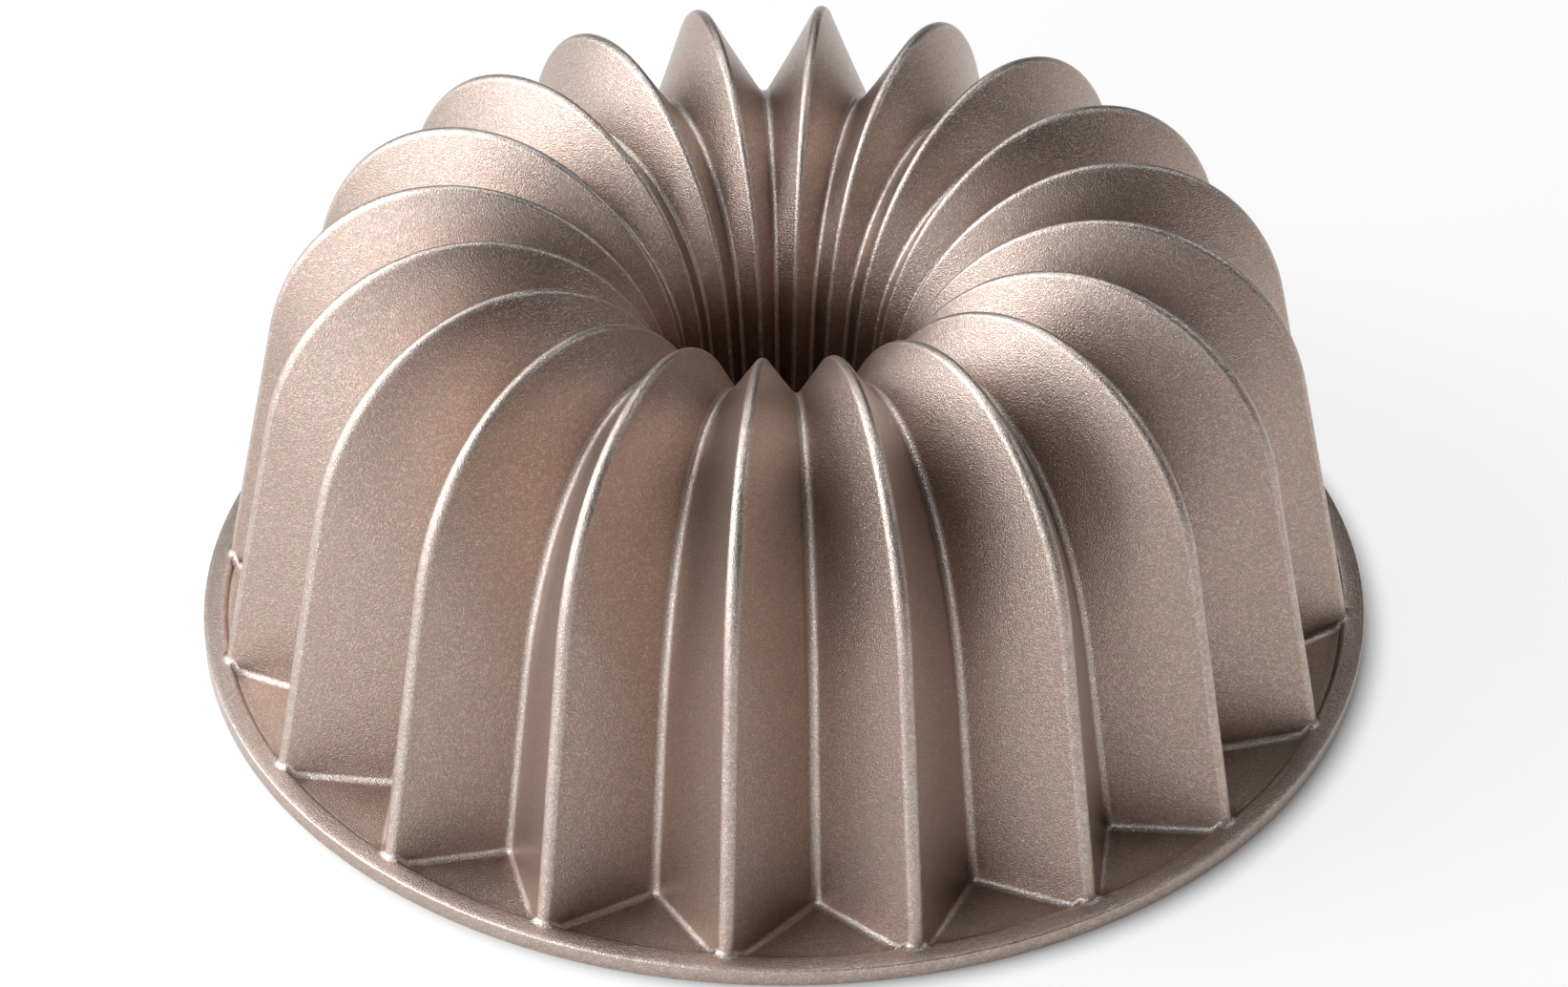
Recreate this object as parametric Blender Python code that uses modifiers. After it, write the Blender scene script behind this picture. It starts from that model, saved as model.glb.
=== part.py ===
"""Fluted tube pan, cast in one piece, standing upside down on its rim.

Lengths are in metres, +Z is up and the rim's flat face lies on z = 0.
The origin is on the pan's axis, and one crest of the flutes points along -Y.
"""
from math import asin, cos, hypot, pi, radians, sin, sqrt, tan

import bmesh
import bpy
from mathutils import Vector
from mathutils.geometry import intersect_line_plane

# Rim: a thin flat plate with a raised bead round its edge
RIM_RADIUS = 0.1250
RIM_PLATE = 0.0024
BEAD_HEIGHT = 0.0041
BEAD_WIDTH = 0.0050
BEAD_STEP_ROUNDING = 0.0012
BEAD_EDGE_ROUNDING = 0.00045
BEAD_ROUND_STEPS = 3
RIM_SEGMENTS = 80

# Flutes: crests and valleys that climb the wall, arch over the top and dive into the tube
FLUTES = 20
WALL_DRAFT = radians(11.5)
TUBE_DRAFT = radians(8.0)

# Roundings of crests and valleys at the foot, and the share of them that is left in the tube
CREST_ROUNDING = 0.0020
VALLEY_ROUNDING = 0.0016
TUBE_ROUNDING_SHARE = 0.45

# Crest line, over its rounding: the foot is set in from the rim's edge, the arch is two quarter ellipses
CREST_SET_IN = 0.0030
CREST_TOP_RADIUS = 0.0672
CREST_HEIGHT = 0.1021
CREST_SHOULDER_HEIGHT = 0.0484
CREST_THROAT_HEIGHT = 0.0523

# Valley line: it runs this far inside the crest line, at the foot, at the top and in the tube
FOOT_FLUTE_DEPTH = 0.0178
TOP_FLUTE_SET_IN = 0.0099
TOP_FLUTE_DEPTH = 0.0133
VALLEY_SHOULDER_HEIGHT = 0.0689
VALLEY_THROAT_HEIGHT = 0.0368
TUBE_FLUTE_DEPTH = 0.0020

# Tube: the radius of its crests on the plane of the rim, and its end, which stays clear of the table
TUBE_CREST_RADIUS = 0.0152
TUBE_END_HEIGHT = 0.0060

# Wall of the casting
WALL = 0.0032

# Rows of the loft along each stretch of the crest and valley lines
SHOULDER_ROWS = 7
THROAT_ROWS = 7

# Turns along each rounding, as shares of the way from one end to the other
ARC_TURNS = (0, 1)

# How far a cutter runs past the face that it opens
CUT_OVERRUN = 0.005

HALF_FLUTE = pi / FLUTES
MERGE_DISTANCE = 0.00001

# Angle of the flute lines' outward normal at each row, from the wall over the top to the tube
SHOULDER_ANGLES = [WALL_DRAFT + (pi / 2 - WALL_DRAFT) * row / SHOULDER_ROWS for row in range(SHOULDER_ROWS)]
THROAT_ANGLES = [pi / 2 + (pi / 2 - TUBE_DRAFT) * row / THROAT_ROWS for row in range(THROAT_ROWS + 1)]
ANGLES = [WALL_DRAFT] + SHOULDER_ANGLES + THROAT_ANGLES + [pi - TUBE_DRAFT]

COAT_COLOUR = (0.36, 0.26, 0.21, 1.0)
COAT_METALLIC = 0.85
COAT_ROUGHNESS = 0.42


def clear_scene():
    for obj in list(bpy.data.objects):
        bpy.data.objects.remove(obj, do_unlink=True)


def new_collection(name):
    collection = bpy.data.collections.new(name)
    bpy.context.scene.collection.children.link(collection)
    return collection


def new_object(name, mesh, collection):
    obj = bpy.data.objects.new(name, mesh)
    collection.objects.link(obj)
    return obj


def as_cutter(obj):
    obj.hide_render = True
    obj.display_type = "WIRE"
    return obj


def coat_material():
    material = bpy.data.materials.new("toffee_coat")
    material.use_nodes = True
    shader = material.node_tree.nodes["Principled BSDF"]
    shader.inputs["Base Color"].default_value = COAT_COLOUR
    shader.inputs["Metallic"].default_value = COAT_METALLIC
    shader.inputs["Roughness"].default_value = COAT_ROUGHNESS
    material.diffuse_color = COAT_COLOUR
    return material


def ellipse_width(reach, height, draft):
    """Half width of the ellipse of that half height which touches a line of that draft.

    reach is the distance from the ellipse's centre to the line.
    """
    return sqrt(reach ** 2 - (height * sin(draft)) ** 2) / cos(draft)


class FluteLine:
    """Crest or valley line in its own upright plane, as points (radius, height).

    It climbs the drafted wall from the foot, turns over the top along two quarter
    ellipses and goes down the drafted tube. An angle is that of its outward normal.
    """

    def __init__(self, foot, top, tube, shoulder_height, throat_height):
        self.foot = foot
        self.top = top
        self.tube = tube
        self.shoulder = self.quarter(foot, shoulder_height, WALL_DRAFT)
        self.throat = self.quarter(tube, throat_height, TUBE_DRAFT)

    def quarter(self, line_radius, height, draft):
        """Half axes of the quarter ellipse between the top and a line through (line_radius, 0)."""
        radius, top_height = self.top
        across = abs(line_radius - radius) * cos(draft)
        reach = across - (top_height - height) * sin(draft)
        return ellipse_width(reach, height, draft), height

    def arch_point(self, angle):
        """Point of the arch whose outward normal has this angle."""
        width, height = self.shoulder if angle <= pi / 2 else self.throat
        scale = hypot(width * cos(angle), height * sin(angle))
        radius = self.top[0] + width ** 2 * cos(angle) / scale
        return radius, self.top[1] - height + height ** 2 * sin(angle) / scale

    def points(self, foot_level, tube_level):
        """Points from the foot's level over the top to the tube's level, one for each of ANGLES."""
        foot = (self.foot - foot_level * tan(WALL_DRAFT), foot_level)
        tube = (self.tube + tube_level * tan(TUBE_DRAFT), tube_level)
        return [foot] + [self.arch_point(angle) for angle in ANGLES[1:-1]] + [tube]


def crest_line():
    return FluteLine(RIM_RADIUS - CREST_SET_IN, (CREST_TOP_RADIUS, CREST_HEIGHT), TUBE_CREST_RADIUS,
                     CREST_SHOULDER_HEIGHT, CREST_THROAT_HEIGHT)


def valley_line():
    top = (CREST_TOP_RADIUS - TOP_FLUTE_SET_IN, CREST_HEIGHT - TOP_FLUTE_DEPTH)
    return FluteLine(RIM_RADIUS - CREST_SET_IN - FOOT_FLUTE_DEPTH, top, TUBE_CREST_RADIUS + TUBE_FLUTE_DEPTH,
                     VALLEY_SHOULDER_HEIGHT, VALLEY_THROAT_HEIGHT)


def place(point, azimuth):
    """Point (radius, height) as a 3-D point, at this azimuth from -Y."""
    radius, height = point
    return Vector((radius * sin(azimuth), -radius * cos(azimuth), height))


def side_direction(azimuth):
    """Normal of the upright plane through the axis at this azimuth."""
    return Vector((cos(azimuth), sin(azimuth), 0))


class FluteSection:
    """Section across half a flute, where the flute lines' outward normals have this angle.

    The flank is the common tangent of the two circles that round the crest and the valley.
    """

    def __init__(self, angle, crest, valley):
        foot_radius = RIM_RADIUS - CREST_SET_IN
        way_in = (foot_radius - crest[0]) / (foot_radius - TUBE_CREST_RADIUS)
        share = 1 - (1 - TUBE_ROUNDING_SHARE) * way_in
        self.crest_rounding = CREST_ROUNDING * share
        self.valley_rounding = VALLEY_ROUNDING * share
        self.crest_normal = place((cos(angle), sin(angle)), 0)
        self.valley_normal = place((cos(angle), sin(angle)), HALF_FLUTE)
        self.crest_centre = place(crest, 0) - self.crest_rounding * self.crest_normal
        self.valley_centre = place(valley, HALF_FLUTE) + self.valley_rounding * self.valley_normal
        self.flank_normal = self.common_tangent_normal(angle)

    def common_tangent_normal(self, angle):
        climb = place((-sin(angle), cos(angle)), 0) + place((-sin(angle), cos(angle)), HALF_FLUTE)
        climb.normalize()
        span = self.valley_centre - self.crest_centre
        across = span - climb * span.dot(climb)
        aside = across.normalized()
        lean = asin((self.crest_rounding + self.valley_rounding) / across.length)
        return sin(lean) * aside + cos(lean) * aside.cross(climb)

    def outer_row(self):
        """Outer face, from the middle of the crest to the middle of the valley."""
        crest_arc = [self.crest_centre + self.crest_rounding * self.crest_normal.slerp(self.flank_normal, turn)
                     for turn in ARC_TURNS]
        return crest_arc + self.valley_arc(self.valley_rounding)

    def inner_row(self):
        """Inner face, a wall's thickness inside the outer one, with a sharp groove under the crest."""
        ridge = self.valley_arc(self.valley_rounding + WALL)
        flank_start = self.crest_centre + (self.crest_rounding - WALL) * self.flank_normal
        groove = intersect_line_plane(flank_start, ridge[0], Vector(), side_direction(0))
        return [groove] + ridge

    def valley_arc(self, rounding):
        return [self.valley_centre - rounding * self.flank_normal.slerp(self.valley_normal, turn)
                for turn in ARC_TURNS]


def flute_sections(foot_level, tube_level):
    """Sections from the foot's level over the top to the tube's level."""
    crests = crest_line().points(foot_level, tube_level)
    valleys = valley_line().points(foot_level, tube_level)
    return [FluteSection(*section) for section in zip(ANGLES, crests, valleys)]


def loft_mesh(name, rows):
    """Mesh of quads between neighbouring rows, closed from the last row to the first."""
    shape = bmesh.new()
    grid = [[shape.verts.new(point) for point in row] for row in rows]
    for lower, upper in zip(grid, grid[1:] + grid[:1]):
        for column in range(len(lower) - 1):
            shape.faces.new((lower[column], lower[column + 1], upper[column + 1], upper[column]))
    mesh = bpy.data.meshes.new(name)
    shape.to_mesh(mesh)
    shape.free()
    mesh.shade_smooth()
    return mesh


def ring_of_flutes(name, rows, turner, collection):
    """Closed ring of flutes from one lofted half flute, by a mirror and a turned array."""
    ring = new_object(name, loft_mesh(name, rows), collection)
    mirror = ring.modifiers.new("other_half", "MIRROR")
    mirror.use_axis = (True, False, False)
    mirror.merge_threshold = MERGE_DISTANCE
    array = ring.modifiers.new("round_the_axis", "ARRAY")
    array.count = FLUTES
    array.use_relative_offset = False
    array.use_object_offset = True
    array.offset_object = turner
    array.use_merge_vertices = True
    array.use_merge_vertices_cap = True
    array.merge_threshold = MERGE_DISTANCE
    return ring


def outer_form(turner, collection):
    """Solid ring of flutes, with the outside of the wall, the top and the bore of the tube.

    Underneath it ends inside the rim plate, and level with the tube's end in the hollow.
    """
    rows = [section.outer_row() for section in flute_sections(RIM_PLATE / 2, TUBE_END_HEIGHT)]
    columns = len(rows[0]) - 1
    hollow_point = (CREST_TOP_RADIUS, TUBE_END_HEIGHT)
    rows.append([place(hollow_point, HALF_FLUTE * column / columns) for column in range(columns + 1)])
    return ring_of_flutes("pan_casting", rows, turner, collection)


def hollow_form(turner, collection):
    """Solid ring of flutes that fills the inside of the pan and runs on below the rim."""
    rows = [section.inner_row() for section in flute_sections(-CUT_OVERRUN, -CUT_OVERRUN)]
    return as_cutter(ring_of_flutes("hollow_form", rows, turner, collection))


def rounded_corner(rounding, radius, height, start):
    """Quarter circle round a corner centre, from the start angle down by 90 degrees."""
    turns = [start - pi / 2 * step / BEAD_ROUND_STEPS for step in range(BEAD_ROUND_STEPS + 1)]
    return [(radius + rounding * cos(turn), height + rounding * sin(turn)) for turn in turns]


def rim_form(collection):
    """Turned rim: plate, inner step, bead with rounded edges and flat underside."""
    inner_radius = RIM_RADIUS - CREST_SET_IN - FOOT_FLUTE_DEPTH - BEAD_WIDTH
    step_radius = RIM_RADIUS - BEAD_WIDTH
    edge_radius = RIM_RADIUS - BEAD_EDGE_ROUNDING
    profile = [(inner_radius, 0), (inner_radius, RIM_PLATE), (step_radius, RIM_PLATE)]
    profile += rounded_corner(BEAD_STEP_ROUNDING, step_radius + BEAD_STEP_ROUNDING,
                              BEAD_HEIGHT - BEAD_STEP_ROUNDING, pi)
    profile += rounded_corner(BEAD_EDGE_ROUNDING, edge_radius, BEAD_HEIGHT - BEAD_EDGE_ROUNDING, pi / 2)
    profile += rounded_corner(BEAD_EDGE_ROUNDING, edge_radius, BEAD_EDGE_ROUNDING, 0)
    shape = bmesh.new()
    points = [shape.verts.new((radius, 0, height)) for radius, height in profile]
    for start, end in zip(points, points[1:] + points[:1]):
        shape.edges.new((start, end))
    mesh = bpy.data.meshes.new("rim_form")
    shape.to_mesh(mesh)
    shape.free()
    rim = new_object("rim_form", mesh, collection)
    screw = rim.modifiers.new("turn", "SCREW")
    screw.steps = RIM_SEGMENTS
    screw.render_steps = RIM_SEGMENTS
    screw.use_merge_vertices = True
    screw.merge_threshold = MERGE_DISTANCE
    return as_cutter(rim)


def combine(target, tool, operation):
    boolean = target.modifiers.new(operation.lower() + "_" + tool.name, "BOOLEAN")
    boolean.operation = operation
    boolean.object = tool
    boolean.solver = "EXACT"


def build_pan():
    pan_collection = new_collection("fluted_tube_pan")
    cutters = new_collection("cutters")
    turner = new_object("one_flute_on", None, cutters)
    turner.rotation_euler.z = 2 * HALF_FLUTE
    casting = outer_form(turner, pan_collection)
    combine(casting, rim_form(cutters), "UNION")
    combine(casting, hollow_form(turner, cutters), "DIFFERENCE")
    casting.data.materials.append(coat_material())


clear_scene()
build_pan()
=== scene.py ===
from math import asin, atan2, cos, hypot, pi, radians, sin, sqrt

import bmesh
import bpy
from mathutils import Matrix, Vector
from mathutils.bvhtree import BVHTree
from mathutils.geometry import intersect_line_plane


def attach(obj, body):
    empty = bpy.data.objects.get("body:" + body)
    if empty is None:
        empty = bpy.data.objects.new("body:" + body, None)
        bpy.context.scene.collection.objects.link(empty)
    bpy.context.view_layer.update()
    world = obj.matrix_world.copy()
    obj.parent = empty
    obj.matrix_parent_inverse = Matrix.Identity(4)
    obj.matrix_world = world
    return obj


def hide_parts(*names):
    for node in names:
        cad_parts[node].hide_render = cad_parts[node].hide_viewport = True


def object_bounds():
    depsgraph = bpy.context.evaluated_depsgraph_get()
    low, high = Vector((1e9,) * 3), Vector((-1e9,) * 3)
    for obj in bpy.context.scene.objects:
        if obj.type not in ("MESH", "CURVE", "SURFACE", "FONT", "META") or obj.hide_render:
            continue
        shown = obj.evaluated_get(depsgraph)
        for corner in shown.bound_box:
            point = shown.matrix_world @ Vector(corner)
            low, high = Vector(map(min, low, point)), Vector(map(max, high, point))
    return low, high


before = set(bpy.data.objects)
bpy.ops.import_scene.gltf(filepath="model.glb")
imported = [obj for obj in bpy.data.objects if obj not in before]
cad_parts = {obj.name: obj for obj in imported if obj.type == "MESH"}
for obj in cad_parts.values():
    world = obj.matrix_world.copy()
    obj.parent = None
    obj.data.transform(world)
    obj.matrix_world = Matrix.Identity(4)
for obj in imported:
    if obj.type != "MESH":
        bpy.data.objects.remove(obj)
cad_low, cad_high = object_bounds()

# Rim, with the outer size from the frame
RIM_RADIUS = cad_high.x
RIM_PLATE = 0.0024
BEAD_HEIGHT = 0.0041
BEAD_WIDTH = 0.0050
BEAD_STEP_ROUNDING = 0.0012
BEAD_EDGE_ROUNDING = 0.00045
BEAD_CROWN = 0.0003
STEP_HOLLOW = 0.0005

# Flutes, with the height from the frame
FLUTES = 20
WALL_DRAFT = radians(11.5)
TUBE_DRAFT = radians(8.0)
CREST_ROUNDING = 0.0020
VALLEY_ROUNDING = 0.0016
GROOVE_ROUNDING = 0.0012
TUBE_ROUNDING_SHARE = 0.45
CREST_SET_IN = 0.0030
CREST_TOP_RADIUS = 0.0672
CREST_HEIGHT = cad_high.z
CREST_SHOULDER_HEIGHT = 0.0484
CREST_THROAT_HEIGHT = 0.0523
FOOT_FLUTE_DEPTH = 0.0178
TOP_FLUTE_SET_IN = 0.0099
TOP_FLUTE_DEPTH = 0.0133
VALLEY_SHOULDER_HEIGHT = 0.0689
VALLEY_THROAT_HEIGHT = 0.0368
TUBE_FLUTE_DEPTH = 0.0020
TUBE_CREST_RADIUS = 0.0152
TUBE_END_HEIGHT = 0.0060
WALL = 0.0032

# Small roundings where the flutes meet the rim, inside the rim's opening and at the end of the tube
FOOT_FILLET = 0.0013
OPENING_ROUNDING = 0.0012
TUBE_END_ROUNDING = 0.0010

# Fineness of the mesh: steps across half a flute, and rows along each stretch of it
CREST_STEPS = 7
VALLEY_STEPS = 6
FLANK_SHARES = (0.02, 0.10, 0.26, 0.42, 0.58, 0.74, 0.90, 0.98)
WALL_SHARES = (0.13, 0.20, 0.35, 0.50, 0.65, 0.80, 0.92)
ARCH_ROWS = 26
TUBE_SHARES = (0.15, 0.35, 0.55, 0.75, 0.92)
ROUNDING_STEPS = 6
FOOT_ROUNDS = 4
WEB_RADII = (0.1060, 0.1090, 0.1120, 0.1150, 0.1175)
CROWN_SHARES = (0.25, 0.5, 0.75)

HALF_FLUTE = pi / FLUTES
FOOT_RADIUS = RIM_RADIUS - CREST_SET_IN
STEP_RADIUS = RIM_RADIUS - BEAD_WIDTH
CROWN_RADIUS = STEP_RADIUS + BEAD_STEP_ROUNDING
MERGE_DISTANCE = 0.000001

# Measured on the mesh for the coat: how sharply it turns, and what share of the directions off it leads out
# of the flutes, which sets the painted shade
TURN_LAYER = "sharpness"
TURN_SMOOTHING = 1
OPEN_LAYER = "openness"
OPEN_RAYS = 64
OPEN_REACH = 0.08
OPEN_LIFT = 0.0001
GOLDEN_TURN = pi * (3 - sqrt(5))

# Vertices whose radius, height and angle agree to these decimals are at the same spot of their flutes
LENGTH_DECIMALS = 5
ANGLE_DECIMALS = 4

# Coat: grain in metres, linear colours, and roughness from the dullest fleck to the shiniest
OUTSIDE_GRAIN = {"Grain Size": 0.0003, "Grain Depth": 0.00015, "Roll Size": 0.004, "Roll Depth": 0.00001}
# The darkest tint of each set is painted shade for spots that the flutes shelter; the palest is edge wear
# and a painted highlight
OUTSIDE_TINTS = {"Rose": (0.445, 0.324, 0.273, 1), "Olive": (0.42, 0.326, 0.266, 1),
                 "Pale Wear And Highlight": (0.53, 0.435, 0.38, 1), "Shade Tint": (0.22, 0.12, 0.083, 1),
                 "Cloud Size": 0.004, "Fleck Strength": 0.45}
OUTSIDE_ROUGHNESS = (0.37, 0.31)
INSIDE_GRAIN = {"Grain Size": 0.0006, "Grain Depth": 0.00004, "Roll Size": 0.006, "Roll Depth": 0.00002}
INSIDE_TINTS = {"Rose": (0.44, 0.32, 0.27, 1), "Olive": (0.42, 0.33, 0.26, 1),
                "Pale Wear And Highlight": (0.52, 0.42, 0.37, 1), "Shade Tint": (0.26, 0.17, 0.13, 1),
                "Cloud Size": 0.008, "Fleck Strength": 0.08}
INSIDE_ROUGHNESS = (0.36, 0.30)
CLEAR_COAT = 0.25
CLEAR_COAT_ROUGHNESS = 0.3
CLEAR_COAT_IOR = 1.5

# Masks of the coat's colour: turns in 1/m at which a ridge or hollow starts and is full, open shares of the
# directions at which the painted shade is darkest and gone, and the size and strength of its patches on
# ridges
COAT_WEAR_AND_PAINTED_LIGHT = {"Flat Turn": 80.0, "Ridge Turn": 450.0, "Hollow Turn": 500.0, "Closed": 0.06, "Open": 0.52,
              "Patch Size": 0.0025}
PATCH_NOISE = (0.3, 0.65)
PATCH_STRENGTH = (0.45, 1.0)
CLOUD_NOISE = (0.35, 0.65)
SPARKLE_POWER = 3.0

# Noise: layers of finer detail in each pattern, and how strong each layer is against the one before
PIT_DETAIL = 1.0
ROLL_DETAIL = 2.0
PATCH_DETAIL = 3.0
CLOUD_DETAIL = 2.0
DETAIL_SHARE = 0.55

# Kinds of socket in the node groups
COLOUR = "NodeSocketColor"
VALUE = "NodeSocketFloat"

# Studio: paper floor with a painted contact shadow round the rim, where its glow is held off
FLOOR_REACH = 9.0
PAPER = (0.233, 0.218, 0.206, 1)
PAPER_ROUGHNESS = 0.9
PAPER_GLOW = 0.77
SHADOW_IN = 0.006
SHADOW_OUT = 0.004
SHADOW_SHIFT = (0.0028, -0.0013, 0)
WHITE = (1, 1, 1, 1)
ROOM_LIGHT = 0.02

# Soft lamps as (name, azimuth from -Y to +X and elevation in degrees, distance and size in m, power in W)
NEAR = 0.7
FAR = 1.5
SMALL_PANEL = (0.36, 0.36)
LARGE_PANEL = (0.75, 0.75)
SOFT_LAMPS = (
    ("key_lamp", -75, 42, NEAR, SMALL_PANEL, 2.2),
    ("key_side_lamp", -105, 42, NEAR, SMALL_PANEL, 1.5),
    ("key_front_lamp", -45, 42, NEAR, SMALL_PANEL, 0.7),
    ("low_side_lamp", -90, 12, FAR, (1.5, 0.75), 12.2),
    ("low_front_lamp", -38, 13, NEAR, (0.6, 0.36), 2.2),
    ("top_lamp", -150, 72, FAR, LARGE_PANEL, 7.0),
    ("right_fill_lamp", 105, 42, FAR, LARGE_PANEL, 3.6),
    ("back_fill_lamp", -165, 42, FAR, LARGE_PANEL, 2.2),
    ("front_fill_lamp", 5, 27, FAR, LARGE_PANEL, 2.8),
)
LAMP_COLOUR = (0.885, 0.945, 1.0)

# Camera: it looks at a point on the pan's axis. The focal length is in pixels of the photo, from the fit.
PHOTO_WIDTH = 1643
FOCAL_PIXELS = 5406.4
SENSOR_WIDTH = 36.0
AIM_HEIGHT = 0.0280
CAMERA_DISTANCE = 1.1013
CAMERA_AZIMUTH = radians(5.45)
CAMERA_ELEVATION = radians(36.745)
CAMERA_NEAR = 0.05
CAMERA_FAR = 20


# Form of the casting

class FluteLine:
    """Crest or valley line in its own upright plane, as points (radius, height).

    It climbs the drafted wall, turns over the top along two quarter ellipses and goes down the tube.
    """

    def __init__(self, foot, top, tube, shoulder_height, throat_height):
        self.foot = foot
        self.top = top
        self.tube = tube
        self.shoulder = self.quarter(foot, shoulder_height, WALL_DRAFT)
        self.throat = self.quarter(tube, throat_height, TUBE_DRAFT)

    def quarter(self, line_radius, height, draft):
        """Half axes of the quarter ellipse between the top and a line through (line_radius, 0)."""
        radius, top_height = self.top
        reach = abs(line_radius - radius) * cos(draft) - (top_height - height) * sin(draft)
        return sqrt(reach ** 2 - (height * sin(draft)) ** 2) / cos(draft), height

    def arch_point(self, angle):
        """Point of the arch whose outward normal has this angle."""
        width, height = self.shoulder if angle <= pi / 2 else self.throat
        scale = hypot(width * cos(angle), height * sin(angle))
        radius = self.top[0] + width ** 2 * cos(angle) / scale
        return radius, self.top[1] - height + height ** 2 * sin(angle) / scale

    def foot_point(self):
        """Point of the wall's line in the rim's plane."""
        return self.foot, 0.0

    def tube_point(self):
        """Point at the open end of the tube."""
        return self.tube + TUBE_END_HEIGHT * sin(TUBE_DRAFT) / cos(TUBE_DRAFT), TUBE_END_HEIGHT


def crest_line():
    return FluteLine(FOOT_RADIUS, (CREST_TOP_RADIUS, CREST_HEIGHT), TUBE_CREST_RADIUS,
                     CREST_SHOULDER_HEIGHT, CREST_THROAT_HEIGHT)


def valley_line():
    top = (CREST_TOP_RADIUS - TOP_FLUTE_SET_IN, CREST_HEIGHT - TOP_FLUTE_DEPTH)
    return FluteLine(FOOT_RADIUS - FOOT_FLUTE_DEPTH, top, TUBE_CREST_RADIUS + TUBE_FLUTE_DEPTH,
                     VALLEY_SHOULDER_HEIGHT, VALLEY_THROAT_HEIGHT)


def place(point, azimuth):
    """Point (radius, height) as a 3-D point, at this azimuth from -Y."""
    radius, height = point
    return Vector((radius * sin(azimuth), -radius * cos(azimuth), height))


def turned(first, last, steps):
    """Directions from the first to the last, in this many equal turns."""
    return [first.slerp(last, step / steps) for step in range(steps + 1)]


class FluteSection:
    """Section across half a flute: rounded crest, straight flank, rounded valley.

    outer and inner hold the points of the two faces, from the middle of the crest to the
    middle of the valley, and normals the outward normal at each of them.
    """

    def __init__(self, angle, crest, valley):
        way_in = (FOOT_RADIUS - crest[0]) / (FOOT_RADIUS - TUBE_CREST_RADIUS)
        share = 1 - (1 - TUBE_ROUNDING_SHARE) * way_in
        crest_rounding = CREST_ROUNDING * share
        valley_rounding = VALLEY_ROUNDING * share
        groove_rounding = GROOVE_ROUNDING * share
        crest_normal = place((cos(angle), sin(angle)), 0)
        valley_normal = place((cos(angle), sin(angle)), HALF_FLUTE)
        crest_centre = place(crest, 0) - crest_rounding * crest_normal
        valley_centre = place(valley, HALF_FLUTE) + valley_rounding * valley_normal
        flank_normal = self.common_tangent_normal(angle, valley_centre - crest_centre,
                                                  crest_rounding + valley_rounding)
        inner_shift = (crest_rounding - WALL - groove_rounding) * flank_normal
        ridge_start = valley_centre - (valley_rounding + WALL + groove_rounding) * flank_normal
        groove_centre = intersect_line_plane(crest_centre + inner_shift, ridge_start, Vector(),
                                             Vector((1, 0, 0)))
        crest_turn = turned(crest_normal, flank_normal, CREST_STEPS)
        valley_turn = turned(flank_normal, valley_normal, VALLEY_STEPS)
        self.normals = crest_turn + [flank_normal] * len(FLANK_SHARES) + valley_turn
        self.outer = self.face(crest_centre, crest_rounding, valley_centre, valley_rounding,
                               crest_turn, valley_turn)
        self.inner = self.face(groove_centre, groove_rounding, valley_centre, valley_rounding + WALL,
                               crest_turn, valley_turn)

    def common_tangent_normal(self, angle, span, roundings):
        """Normal of the flat flank that touches the roundings of the crest and the valley."""
        climb = place((-sin(angle), cos(angle)), 0) + place((-sin(angle), cos(angle)), HALF_FLUTE)
        climb.normalize()
        across = span - climb * span.dot(climb)
        aside = across.normalized()
        lean = asin(roundings / across.length)
        return sin(lean) * aside + cos(lean) * aside.cross(climb)

    def face(self, top_centre, top_rounding, low_centre, low_rounding, top_turn, low_turn):
        """Points of one face: arc round the top centre, flank, arc round the low centre."""
        top_arc = [top_centre + top_rounding * normal for normal in top_turn]
        low_arc = [low_centre - low_rounding * normal for normal in low_turn]
        flank = [top_arc[-1].lerp(low_arc[0], share) for share in FLANK_SHARES]
        return top_arc + flank + low_arc


def rim_height(radius):
    """Height of the rim's upper face: plate, hollow corner, rounded step and bead."""
    if radius <= STEP_RADIUS - STEP_HOLLOW:
        return RIM_PLATE
    if radius <= STEP_RADIUS:
        way_up = radius - STEP_RADIUS + STEP_HOLLOW
        return RIM_PLATE + STEP_HOLLOW - sqrt(STEP_HOLLOW ** 2 - way_up ** 2)
    if radius < CROWN_RADIUS:
        rise = sqrt(BEAD_STEP_ROUNDING ** 2 - (CROWN_RADIUS - radius) ** 2)
        return BEAD_HEIGHT - BEAD_STEP_ROUNDING + rise
    return BEAD_HEIGHT - BEAD_CROWN * ((radius - CROWN_RADIUS) / (RIM_RADIUS - CROWN_RADIUS)) ** 2


def turn_down(centre_radius, centre_height, rounding, start, end):
    """Points (radius, height) of an arc that starts at this angle and turns down to the other."""
    turns = [start + (end - start) * step / ROUNDING_STEPS for step in range(ROUNDING_STEPS + 1)]
    return [(centre_radius + rounding * cos(turn), centre_height + rounding * sin(turn))
            for turn in turns]


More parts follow.
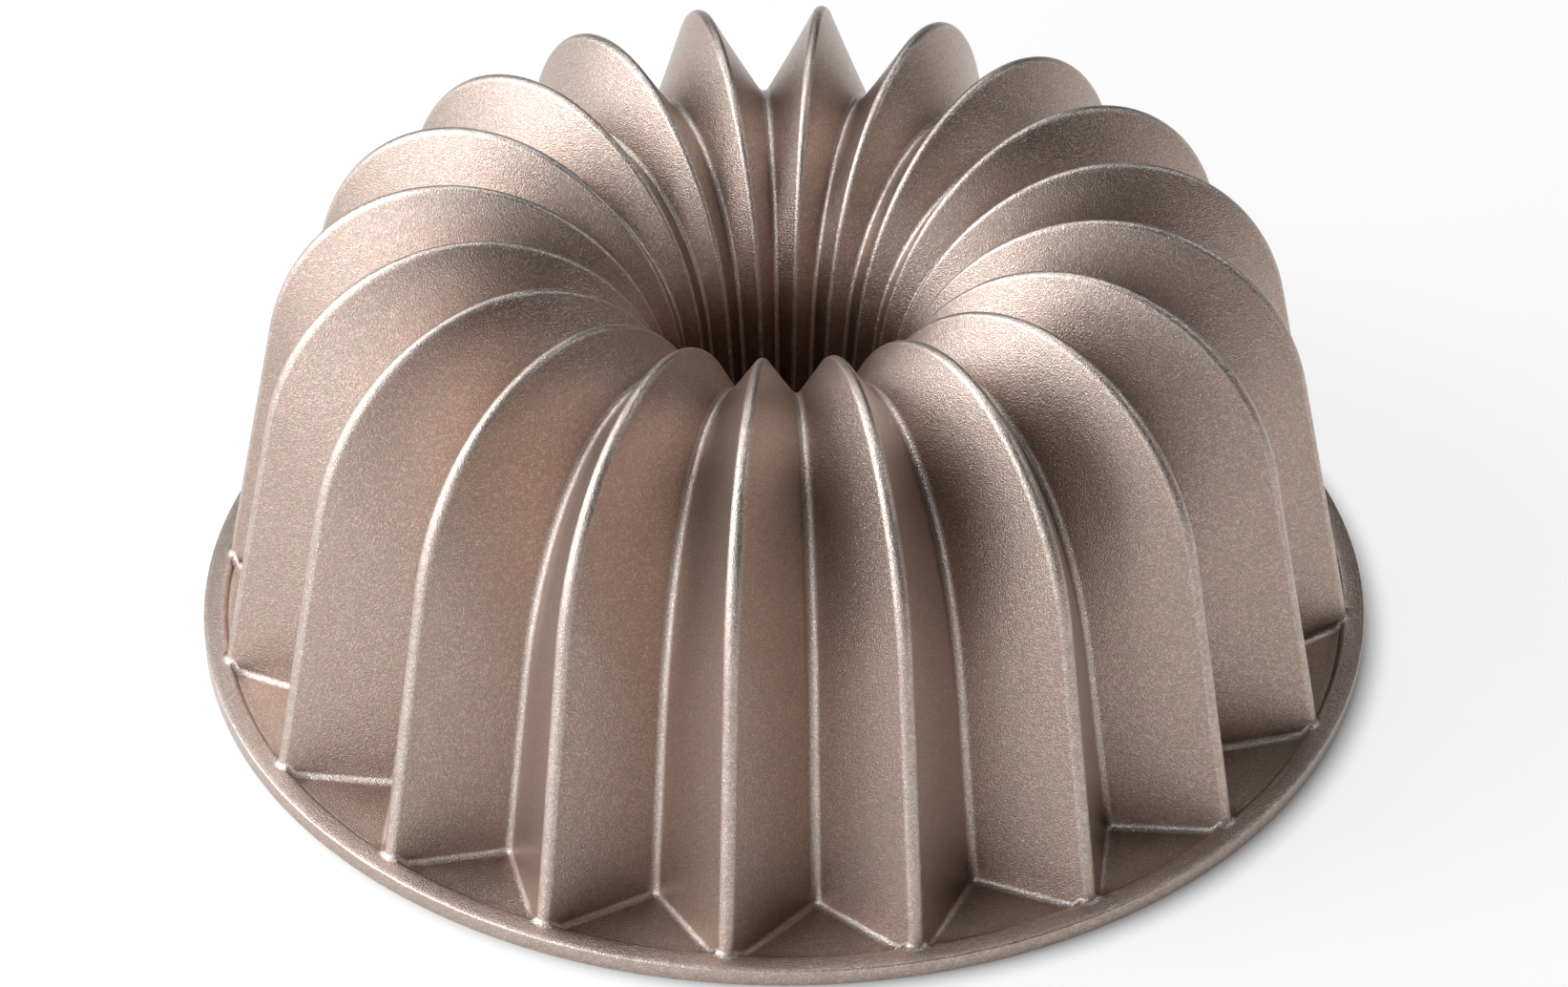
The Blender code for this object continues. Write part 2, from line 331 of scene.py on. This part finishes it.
def rim_profile():
    """Points (radius, height) over the web, up the step, over the bead and down to the underside."""
    web = [(radius, RIM_PLATE) for radius in WEB_RADII]
    hollow = turn_down(STEP_RADIUS - STEP_HOLLOW, RIM_PLATE + STEP_HOLLOW, STEP_HOLLOW, 0, -pi / 2)
    step = turn_down(CROWN_RADIUS, BEAD_HEIGHT - BEAD_STEP_ROUNDING, BEAD_STEP_ROUNDING, pi, pi / 2)
    outer_radius = RIM_RADIUS - BEAD_EDGE_ROUNDING
    crown_radii = [CROWN_RADIUS + (outer_radius - CROWN_RADIUS) * share for share in CROWN_SHARES]
    crown = [(radius, rim_height(radius)) for radius in crown_radii]
    slope = 2 * BEAD_CROWN / (RIM_RADIUS - CROWN_RADIUS)
    edge_height = rim_height(outer_radius) - BEAD_EDGE_ROUNDING
    edge = turn_down(outer_radius, edge_height, BEAD_EDGE_ROUNDING, pi / 2 - slope, 0)
    low_edge = turn_down(outer_radius, BEAD_EDGE_ROUNDING, BEAD_EDGE_ROUNDING, 0, -pi / 2)
    return web + hollow[::-1] + step + crown + edge + low_edge


def at_height(start, end, height):
    """Point of the line through start and end at this height."""
    return start.lerp(end, (height - start.z) / (end.z - start.z))


def rolled_corner(start, end, normal, floor, rounding):
    """Corner between a face and a level floor, as a ball of this rounding leaves it.

    start and end give a line of the face, and normal points from the face to the ball's centre.
    """
    level = Vector((normal.x, normal.y, 0)).normalized()
    centre = at_height(start, end, floor + rounding) + level * (rounding / normal.dot(level))
    up = Vector((0, 0, 1))
    return [centre - rounding * direction for direction in turned(normal, up, ROUNDING_STEPS)]


def foot_corner(start, end, normal):
    """Fillet between the flutes and the rim.

    The rim's height under the fillet depends on where the fillet ends, so it is found in rounds.
    """
    floor = RIM_PLATE
    for _ in range(FOOT_ROUNDS):
        corner = rolled_corner(start, end, normal, floor, FOOT_FILLET)
        floor = rim_height(hypot(corner[-1].x, corner[-1].y))
    return corner


def over_the_rim(start):
    """Points from the foot's fillet straight out over the rim to its underside."""
    radius = hypot(start.x, start.y)
    azimuth = atan2(start.x, -start.y)
    return [place(point, azimuth) if point[0] > radius or point[1] < RIM_PLATE else start
            for point in rim_profile()]


def between(first, last, shares):
    """Rows of points between two rows, at these shares of the way."""
    return [[start.lerp(end, share) for start, end in zip(first, last)] for share in shares]


def transposed(columns):
    """Rows of points from columns of points."""
    return [list(row) for row in zip(*columns)]


def from_the_end(shares):
    """The same shares for the way back."""
    return [1 - share for share in shares[::-1]]


def pan_rows():
    """Rows of points round the skin of half a flute, first of the outside and then of the inside.

    The outside runs up the bore of the tube, over the top, down the wall and over the rim, and
    the inside from the rim's flat face up and down again to the end of the tube.
    """
    crest, valley = crest_line(), valley_line()
    shoulder = [WALL_DRAFT + (pi / 2 - WALL_DRAFT) * row / ARCH_ROWS for row in range(ARCH_ROWS)]
    throat = [pi / 2 + (pi / 2 - TUBE_DRAFT) * row / ARCH_ROWS for row in range(ARCH_ROWS + 1)]
    foot = FluteSection(WALL_DRAFT, crest.foot_point(), valley.foot_point())
    tube = FluteSection(pi - TUBE_DRAFT, crest.tube_point(), valley.tube_point())
    arch = [FluteSection(angle, crest.arch_point(angle), valley.arch_point(angle))
            for angle in shoulder + throat]
    low, high = arch[0], arch[-1]

    outer_foot = transposed(foot_corner(*column) for column in zip(foot.outer, low.outer, foot.normals))
    inner_foot = transposed(rolled_corner(*column, 0, OPENING_ROUNDING)
                            for column in zip(foot.inner, low.inner, foot.normals))
    outward = [-normal for normal in tube.normals]
    bore_end = transposed(rolled_corner(*column, TUBE_END_HEIGHT, TUBE_END_ROUNDING)
                          for column in zip(tube.outer, high.outer, outward))
    hollow_end = transposed(rolled_corner(*column, TUBE_END_HEIGHT, TUBE_END_ROUNDING)
                            for column in zip(tube.inner, high.inner, tube.normals))

    outer_face = [section.outer for section in arch[::-1]]
    outer_face += between(low.outer, foot.outer, from_the_end(WALL_SHARES))
    inner_face = between(foot.inner, low.inner, WALL_SHARES) + [section.inner for section in arch]
    rim = transposed(over_the_rim(start) for start in outer_foot[-1])
    bore = between(bore_end[0], high.outer, TUBE_SHARES)
    hollow_side = between(high.inner, hollow_end[0], from_the_end(TUBE_SHARES))
    outside = bore_end[::-1] + bore + outer_face + outer_foot + rim
    inside = inner_foot[::-1] + inner_face + hollow_side + hollow_end
    return outside, inside


def ring_row(row):
    """The row all the way round the axis: its half flute, the mirrored half and their turned copies."""
    mirrored = [Vector((-point.x, point.y, point.z)) for point in row[:0:-1]]
    ring = []
    for flute in range(FLUTES):
        turn = Matrix.Rotation(2 * HALF_FLUTE * flute, 3, "Z")
        ring += [turn @ point for point in mirrored + row[:-1]]
    return ring


def closed_skin(name, outside, inside):
    """Mesh whose rows close round the axis, and whose last row joins the first.

    Faces from the last row of the outside on take the second material.
    """
    rings = [ring_row(row) for row in outside + inside]
    count = len(rings[0])
    faces = []
    for row in range(len(rings)):
        below = (row + 1) % len(rings) * count
        for column in range(count):
            after = (column + 1) % count
            faces.append((row * count + column, row * count + after, below + after, below + column))
    mesh = bpy.data.meshes.new(name)
    mesh.from_pydata([point for ring in rings for point in ring], [], faces)
    material_of_face = [0 if face < (len(outside) - 1) * count else 1 for face in range(len(faces))]
    mesh.polygons.foreach_set("material_index", material_of_face)
    skin = bmesh.new()
    skin.from_mesh(mesh)
    bmesh.ops.remove_doubles(skin, verts=skin.verts, dist=MERGE_DISTANCE)
    bmesh.ops.recalc_face_normals(skin, faces=skin.faces)
    skin.to_mesh(mesh)
    skin.free()
    mesh.shade_smooth()
    mark_turns(mesh)
    mark_openness(mesh)
    return mesh


def mark_turns(mesh):
    """Stores how sharply the skin turns at each vertex, in 1/m: above 0 on ridges, below 0 in hollows."""
    skin = bmesh.new()
    skin.from_mesh(mesh)
    sharpness = []
    for vertex in skin.verts:
        turns = [edge.calc_face_angle_signed(0) / max(span_across(edge), MERGE_DISTANCE)
                 for edge in vertex.link_edges]
        sharpness.append(max(turns, key=abs))
    for _ in range(TURN_SMOOTHING):
        sharpness = [(sharpness[vertex.index] + mean_round(vertex, sharpness)) / 2 for vertex in skin.verts]
    skin.free()
    mesh.attributes.new(TURN_LAYER, "FLOAT", "POINT").data.foreach_set("value", sharpness)


def mean_round(vertex, values):
    """Mean of the values at the vertices next to this one."""
    near = [values[edge.other_vert(vertex).index] for edge in vertex.link_edges]
    return sum(near) / len(near)


def span_across(edge):
    """Distance between the middles of the edge's two faces."""
    one, other = edge.link_faces
    return (one.calc_center_median() - other.calc_center_median()).length


def mark_openness(mesh):
    """Stores at each vertex which share of the directions off the skin leads out of the flutes."""
    skin = BVHTree.FromPolygons([vertex.co for vertex in mesh.vertices],
                                [tuple(face.vertices) for face in mesh.polygons])
    known = {}
    openness = []
    for vertex in mesh.vertices:
        spot = spot_in_flute(vertex.co)
        if spot not in known:
            known[spot] = open_share(skin, vertex.co, vertex.normal)
        openness.append(known[spot])
    mesh.attributes.new(OPEN_LAYER, "FLOAT", "POINT").data.foreach_set("value", openness)


def spot_in_flute(point):
    """Radius, height and way from the crest, which are the same at a vertex of every half flute."""
    azimuth = atan2(point.x, -point.y) % (2 * HALF_FLUTE)
    way = min(azimuth, 2 * HALF_FLUTE - azimuth)
    radius = hypot(point.x, point.y)
    return round(radius, LENGTH_DECIMALS), round(point.z, LENGTH_DECIMALS), round(way, ANGLE_DECIMALS)


def open_share(skin, point, normal):
    """Share of the directions round the normal that meet no other part of the skin, by the cosine."""
    turn = Vector((0, 0, 1)).rotation_difference(normal)
    start = point + normal * OPEN_LIFT
    clear = 0
    for ray in range(OPEN_RAYS):
        lean = asin(sqrt((ray + 0.5) / OPEN_RAYS))
        direction = place((sin(lean), cos(lean)), ray * GOLDEN_TURN)
        if skin.ray_cast(start, turn @ direction, OPEN_REACH)[0] is None:
            clear += 1
    return clear / OPEN_RAYS


# Finish of the casting

def node(tree, kind, inputs=None, **settings):
    """Adds a node, sets it up and fills in its inputs with values or other nodes' outputs."""
    made = tree.nodes.new(kind)
    for name, value in settings.items():
        setattr(made, name, value)
    for name, value in (inputs or {}).items():
        if isinstance(value, bpy.types.NodeSocket):
            tree.links.new(value, made.inputs[name])
        else:
            made.inputs[name].default_value = value
    return made


def effect_group(name, inputs, outputs):
    """Empty node group, with its inputs as {name: default value} and its outputs as {name: socket type}."""
    group = bpy.data.node_groups.new(name, "ShaderNodeTree")
    for socket_name, value in inputs.items():
        kind = COLOUR if isinstance(value, tuple) else VALUE
        group.interface.new_socket(socket_name, in_out="INPUT", socket_type=kind).default_value = value
    for socket_name, kind in outputs.items():
        group.interface.new_socket(socket_name, in_out="OUTPUT", socket_type=kind)
    return group, group.nodes.new("NodeGroupInput").outputs, group.nodes.new("NodeGroupOutput").inputs


def mapped(tree, value, low, high, to_low, to_high):
    """Value moved from one range to another, smooth and held at its ends."""
    ranges = {"Value": value, "From Min": low, "From Max": high, "To Min": to_low, "To Max": to_high}
    return node(tree, "ShaderNodeMapRange", ranges, interpolation_type="SMOOTHSTEP").outputs["Result"]


def arithmetic(tree, operation, first, second):
    """Result of one sum on two values, which may be numbers or other nodes' outputs."""
    return node(tree, "ShaderNodeMath", {0: first, 1: second}, operation=operation).outputs[0]


def blended(tree, share, first, second):
    """Colour mixed from two others, which may be colours or other nodes' outputs."""
    # A Mix node takes its two colours at sockets 6 and 7 and gives the mixed colour at output 2
    return node(tree, "ShaderNodeMix", {0: share, 6: first, 7: second}, data_type="RGBA").outputs[2]


def noise(tree, spot, size, detail):
    """Noise with features of this size in metres, as a share."""
    scale = arithmetic(tree, "DIVIDE", 1.0, size)
    inputs = {"Vector": spot, "Scale": scale, "Detail": detail, "Roughness": DETAIL_SHARE}
    return node(tree, "ShaderNodeTexNoise", inputs).outputs["Fac"]


def blasted_grain():
    """Grit-blasted surface of the casting: fine pits, a slower roll, and a value for each fleck."""
    outputs = {"Height": VALUE, "Fleck": VALUE}
    group, given, result = effect_group("blasted_grain", OUTSIDE_GRAIN, outputs)
    spot = node(group, "ShaderNodeTexCoord").outputs["Object"]
    pits = noise(group, spot, given["Grain Size"], PIT_DETAIL)
    pits = arithmetic(group, "MULTIPLY", pits, given["Grain Depth"])
    roll = noise(group, spot, given["Roll Size"], ROLL_DETAIL)
    roll = arithmetic(group, "MULTIPLY", roll, given["Roll Depth"])
    group.links.new(arithmetic(group, "ADD", pits, roll), result["Height"])
    scale = arithmetic(group, "DIVIDE", 1.0, given["Grain Size"])
    fleck = node(group, "ShaderNodeTexVoronoi", {"Vector": spot, "Scale": scale})
    shade = node(group, "ShaderNodeSeparateColor", {"Color": fleck.outputs["Color"]}).outputs["Red"]
    group.links.new(shade, result["Fleck"])
    return group


def coat_wear_and_painted_light():
    """Masks: ridges, where the coat wears pale and a highlight is painted; hollows, where a highlight is
    painted; and spots that the flutes shelter, where shade is painted.
    """
    outputs = {"Ridge": VALUE, "Hollow": VALUE, "Painted Shade": VALUE}
    group, given, result = effect_group("coat_wear_and_painted_light", COAT_WEAR_AND_PAINTED_LIGHT, outputs)
    turn = node(group, "ShaderNodeAttribute", attribute_name=TURN_LAYER).outputs["Fac"]
    openness = node(group, "ShaderNodeAttribute", attribute_name=OPEN_LAYER).outputs["Fac"]
    spot = node(group, "ShaderNodeTexCoord").outputs["Object"]
    patches = noise(group, spot, given["Patch Size"], PATCH_DETAIL)
    patches = mapped(group, patches, *PATCH_NOISE, *PATCH_STRENGTH)
    # Ridges: edge wear of the coat together with a painted highlight; hollows: a painted highlight
    ridge = mapped(group, turn, given["Flat Turn"], given["Ridge Turn"], 0.0, 1.0)
    group.links.new(arithmetic(group, "MULTIPLY", ridge, patches), result["Ridge"])
    back_turn = arithmetic(group, "MULTIPLY", turn, -1.0)
    hollow = mapped(group, back_turn, given["Flat Turn"], given["Hollow Turn"], 0.0, 1.0)
    group.links.new(hollow, result["Hollow"])
    # Painted shade: full where few directions lead out of the flutes, gone where many do
    painted_shade = mapped(group, openness, given["Closed"], given["Open"], 1.0, 0.0)
    group.links.new(painted_shade, result["Painted Shade"])
    return group


def sprayed_colour():
    """Colour of the sprayed coat: two tints in soft clouds, paler on ridges from edge wear and a painted
    highlight, paler in hollows from a painted highlight, and darker where sheltered from painted shade.
    """
    masks = {"Fleck": 0.0, "Ridge": 0.0, "Hollow": 0.0, "Painted Shade": 0.0}
    group, given, result = effect_group("sprayed_colour", {**OUTSIDE_TINTS, **masks}, {"Colour": COLOUR})
    spot = node(group, "ShaderNodeTexCoord").outputs["Object"]
    cloud = noise(group, spot, given["Cloud Size"], CLOUD_DETAIL)
    cloud = mapped(group, cloud, *CLOUD_NOISE, 0.0, 1.0)
    tint = blended(group, cloud, given["Rose"], given["Olive"])
    # Painted shade: the colour darkens where the flutes shelter the skin
    tint = blended(group, given["Painted Shade"], tint, given["Shade Tint"])
    # Painted highlight in the hollows, and edge wear with a painted highlight on the ridges: both pale the
    # colour
    tint = blended(group, given["Hollow"], tint, given["Pale Wear And Highlight"])
    tint = blended(group, given["Ridge"], tint, given["Pale Wear And Highlight"])
    sparkle = arithmetic(group, "POWER", given["Fleck"], SPARKLE_POWER)
    mean_sparkle = 1 / (SPARKLE_POWER + 1)
    swing = arithmetic(group, "SUBTRACT", sparkle, mean_sparkle)
    swing = arithmetic(group, "MULTIPLY", swing, given["Fleck Strength"])
    brightness = arithmetic(group, "ADD", swing, 1.0)
    scaled = node(group, "ShaderNodeVectorMath", {0: tint, "Scale": brightness}, operation="SCALE")
    group.links.new(scaled.outputs[0], result["Colour"])
    return group


def coat_materials():
    """Materials of the outside and of the inside, whose coat is smoother so that the cake lets go."""
    groups = blasted_grain(), coat_wear_and_painted_light(), sprayed_colour()
    outside = coat_material("toffee_bronze_coat", groups, OUTSIDE_GRAIN, OUTSIDE_TINTS, OUTSIDE_ROUGHNESS)
    inside = coat_material("smooth_release_coat", groups, INSIDE_GRAIN, INSIDE_TINTS, INSIDE_ROUGHNESS)
    return outside, inside


def coat_material(name, groups, grain_values, tints, roughness):
    """Metallic coat with this grain, colour and roughness, under a thin clear layer."""
    grain_group, wear_and_light_group, colour_group = groups
    material = bpy.data.materials.new(name)
    material.use_nodes = True
    tree = material.node_tree
    shader = tree.nodes["Principled BSDF"]
    grain = node(tree, "ShaderNodeGroup", grain_values, node_tree=grain_group).outputs
    wear_and_light = node(tree, "ShaderNodeGroup", node_tree=wear_and_light_group).outputs
    masks = {mask: wear_and_light[mask] for mask in ("Ridge", "Hollow", "Painted Shade")}
    masks["Fleck"] = grain["Fleck"]
    colour = node(tree, "ShaderNodeGroup", {**tints, **masks}, node_tree=colour_group)
    tree.links.new(colour.outputs["Colour"], shader.inputs["Base Color"])
    tree.links.new(mapped(tree, grain["Fleck"], 0.0, 1.0, *roughness), shader.inputs["Roughness"])
    bump = node(tree, "ShaderNodeBump", {"Height": grain["Height"], "Strength": 1.0, "Distance": 1.0})
    tree.links.new(bump.outputs["Normal"], shader.inputs["Normal"])
    shader.inputs["Metallic"].default_value = 1.0
    shader.inputs["Coat Weight"].default_value = CLEAR_COAT
    shader.inputs["Coat Roughness"].default_value = CLEAR_COAT_ROUGHNESS
    shader.inputs["Coat IOR"].default_value = CLEAR_COAT_IOR
    return material


def make_pan():
    """The whole casting, in place of the part's plain solid."""
    outside, inside = pan_rows()
    pan = bpy.data.objects.new("fluted_pan_casting", closed_skin("fluted_pan_casting", outside, inside))
    bpy.context.scene.collection.objects.link(pan)
    for material in coat_materials():
        pan.data.materials.append(material)
    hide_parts("pan_casting")
    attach(pan, "root")


# Studio

def make_floor():
    """Square of paper, level with the rim's flat face."""
    mesh = bpy.data.meshes.new("studio_floor")
    sides = (-1, -1), (1, -1), (1, 1), (-1, 1)
    mesh.from_pydata([(x * FLOOR_REACH, y * FLOOR_REACH, 0) for x, y in sides], [], [(0, 1, 2, 3)])
    floor = bpy.data.objects.new("studio_floor", mesh)
    bpy.context.scene.collection.objects.link(floor)
    mesh.materials.append(white_paper())


def white_paper():
    """Matt paper that the camera and the coat see as white, apart from a painted soft shadow round the pan,
    where its glow is held off.
    """
    material = bpy.data.materials.new("white_paper")
    material.use_nodes = True
    tree = material.node_tree
    shader = tree.nodes["Principled BSDF"]
    shader.inputs["Base Color"].default_value = PAPER
    shader.inputs["Roughness"].default_value = PAPER_ROUGHNESS
    shader.inputs["Specular IOR Level"].default_value = 0.0
    shader.inputs["Emission Color"].default_value = WHITE
    ray = node(tree, "ShaderNodeLightPath").outputs
    seen = arithmetic(tree, "MAXIMUM", ray["Is Camera Ray"], ray["Is Glossy Ray"])
    seen = arithmetic(tree, "MAXIMUM", seen, ray["Is Transmission Ray"])
    # Painted shadow: the glow fades out near the rim, round a centre shifted a little off the axis
    spot = node(tree, "ShaderNodeTexCoord").outputs["Object"]
    away = node(tree, "ShaderNodeVectorMath", {0: spot, 1: SHADOW_SHIFT}, operation="DISTANCE")
    gap = away.outputs["Value"]
    clear = mapped(tree, gap, RIM_RADIUS - SHADOW_IN, RIM_RADIUS + SHADOW_OUT, 0.0, PAPER_GLOW)
    tree.links.new(arithmetic(tree, "MULTIPLY", seen, clear), shader.inputs["Emission Strength"])
    return material


def soft_lamp(name, azimuth, elevation, distance, size, power):
    """Soft lamp, a flat panel of this width and height, that faces the pan from this side and height."""
    data = bpy.data.lights.new(name, "AREA")
    data.shape = "RECTANGLE"
    data.size, data.size_y = size
    data.energy = power
    data.color = LAMP_COLOUR
    lamp = bpy.data.objects.new(name, data)
    bpy.context.scene.collection.objects.link(lamp)
    towards = place((cos(radians(elevation)), sin(radians(elevation))), radians(azimuth))
    lamp.location = towards * distance
    lamp.rotation_euler = towards.to_track_quat("Z", "Y").to_euler()


def make_light():
    """Soft lamps, and a little light from all round."""
    world = bpy.data.worlds.new("studio")
    world.use_nodes = True
    bpy.context.scene.world = world
    background = world.node_tree.nodes["Background"]
    background.inputs["Color"].default_value = WHITE
    background.inputs["Strength"].default_value = ROOM_LIGHT
    for lamp in SOFT_LAMPS:
        soft_lamp(*lamp)


def make_camera():
    """Camera at the photo's angle, distance and focal length."""
    data = bpy.data.cameras.new("camera")
    data.sensor_width = SENSOR_WIDTH
    data.lens = FOCAL_PIXELS / PHOTO_WIDTH * SENSOR_WIDTH
    camera = bpy.data.objects.new("camera", data)
    bpy.context.scene.collection.objects.link(camera)
    back = place((cos(CAMERA_ELEVATION), sin(CAMERA_ELEVATION)), CAMERA_AZIMUTH)
    camera.location = Vector((0, 0, AIM_HEIGHT)) + back * CAMERA_DISTANCE
    camera.rotation_euler = back.to_track_quat("Z", "Y").to_euler()
    data.clip_start = CAMERA_NEAR
    data.clip_end = CAMERA_FAR
    bpy.context.scene.camera = camera


make_pan()
make_floor()
make_light()
make_camera()
bpy.context.scene.view_settings.view_transform = "Standard"
